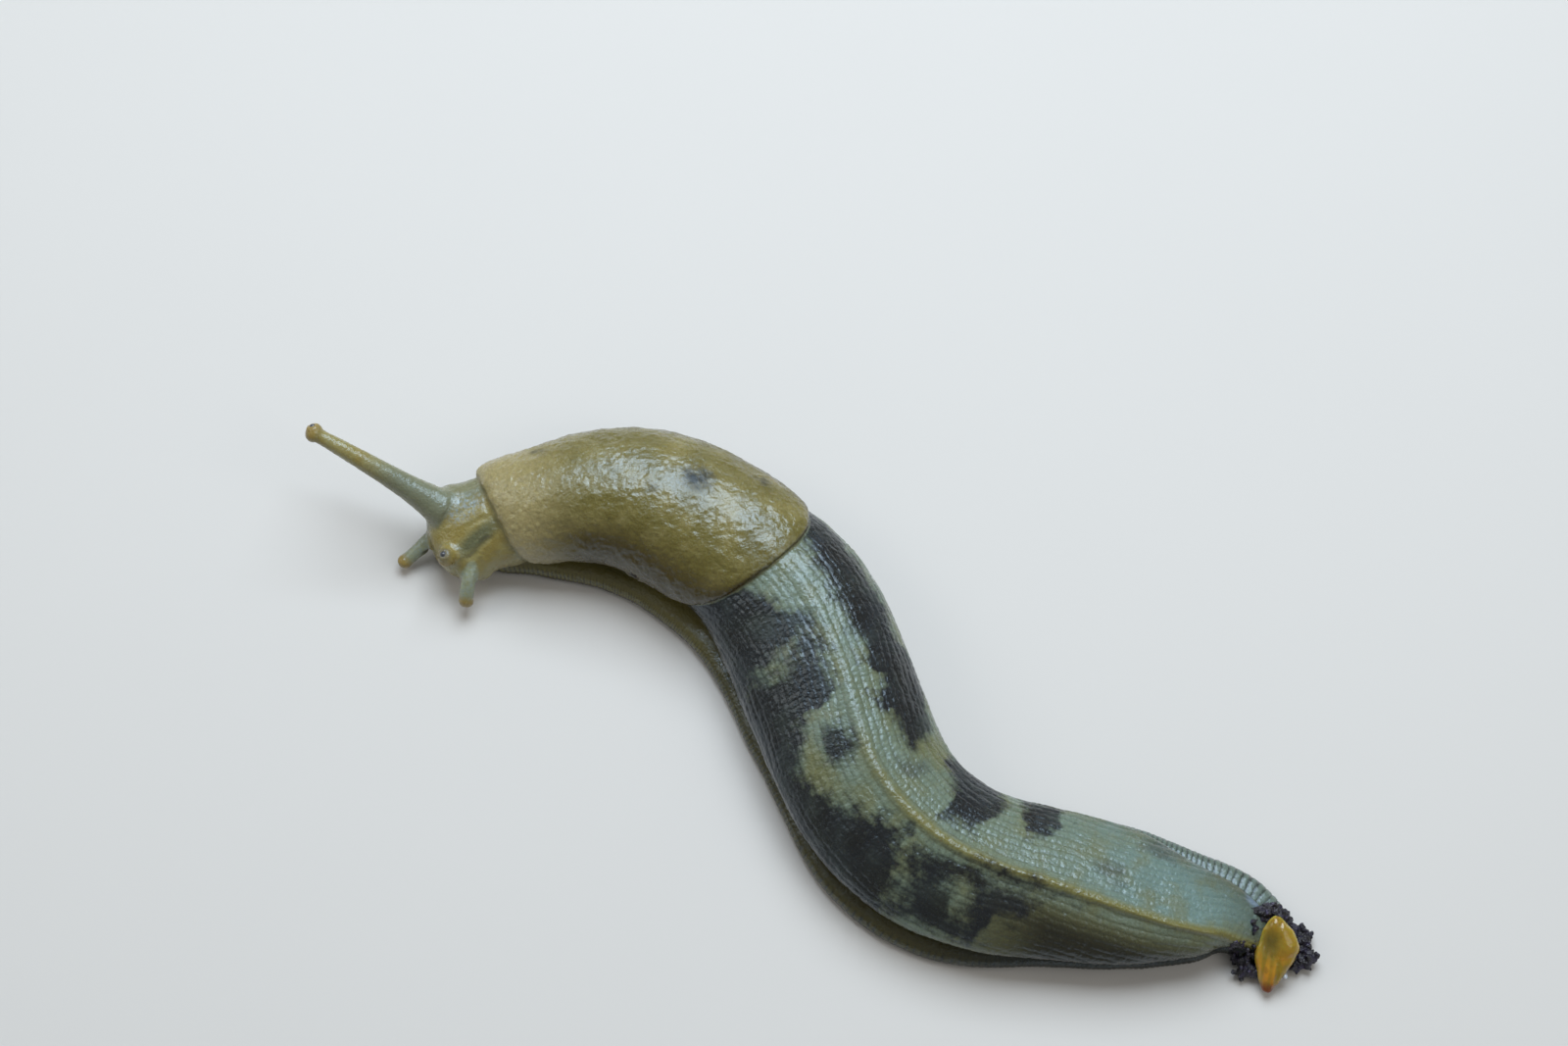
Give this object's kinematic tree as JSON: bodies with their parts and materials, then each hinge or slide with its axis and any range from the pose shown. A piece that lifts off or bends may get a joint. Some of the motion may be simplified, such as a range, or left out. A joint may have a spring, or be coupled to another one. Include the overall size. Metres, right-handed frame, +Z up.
{
  "type": "banana slug",
  "caption": "Spotted banana slug at life size, crawling in an S, one eyestalk stretched out and the other drawn in, with a keeled tail ending in a plug of amber mucus.",
  "frame": {"origin": "on the floor, under the middle of the slug's bounding box", "axes": "+X towards the tail, which is the right of the picture; +Y away from the camera, to the slug's right at its head; +Z up from the floor"},
  "size_m": [0.1136, 0.0644, 0.014],
  "materials": {
    "spotted_skin": "wet soft skin, sage green with dark blotches",
    "mantle_skin": "wet, finely grained olive skin",
    "head_skin": "wet, half-clear yellow-grey skin",
    "foot_skin": "wet olive skin with a grooved fringe",
    "eye": "glossy black",
    "amber_mucus": "wet, half-clear amber",
    "soil_crumbs": "dark, damp"
  },
  "bodies": {
    "root": {"eye_left": "eye", "eye_right": "eye", "foot_front": "foot_skin", "foot_middle": "foot_skin", "foot_rear": "foot_skin", "foot_tail": "foot_skin", "foot_tail_root": "foot_skin", "head": "head_skin", "lower_tentacle_left": "head_skin", "lower_tentacle_right": "head_skin", "mantle": "mantle_skin", "neck": "head_skin", "tail": "spotted_skin", "tail_crumbs_left": "soil_crumbs", "tail_crumbs_right": "soil_crumbs", "tail_mucus_plug": "amber_mucus", "tail_root": "spotted_skin", "trunk_front": "spotted_skin", "trunk_middle": "spotted_skin", "trunk_rear": "spotted_skin", "upper_tentacle_left": "head_skin", "upper_tentacle_right": "head_skin"}
  },
  "joints": []
}
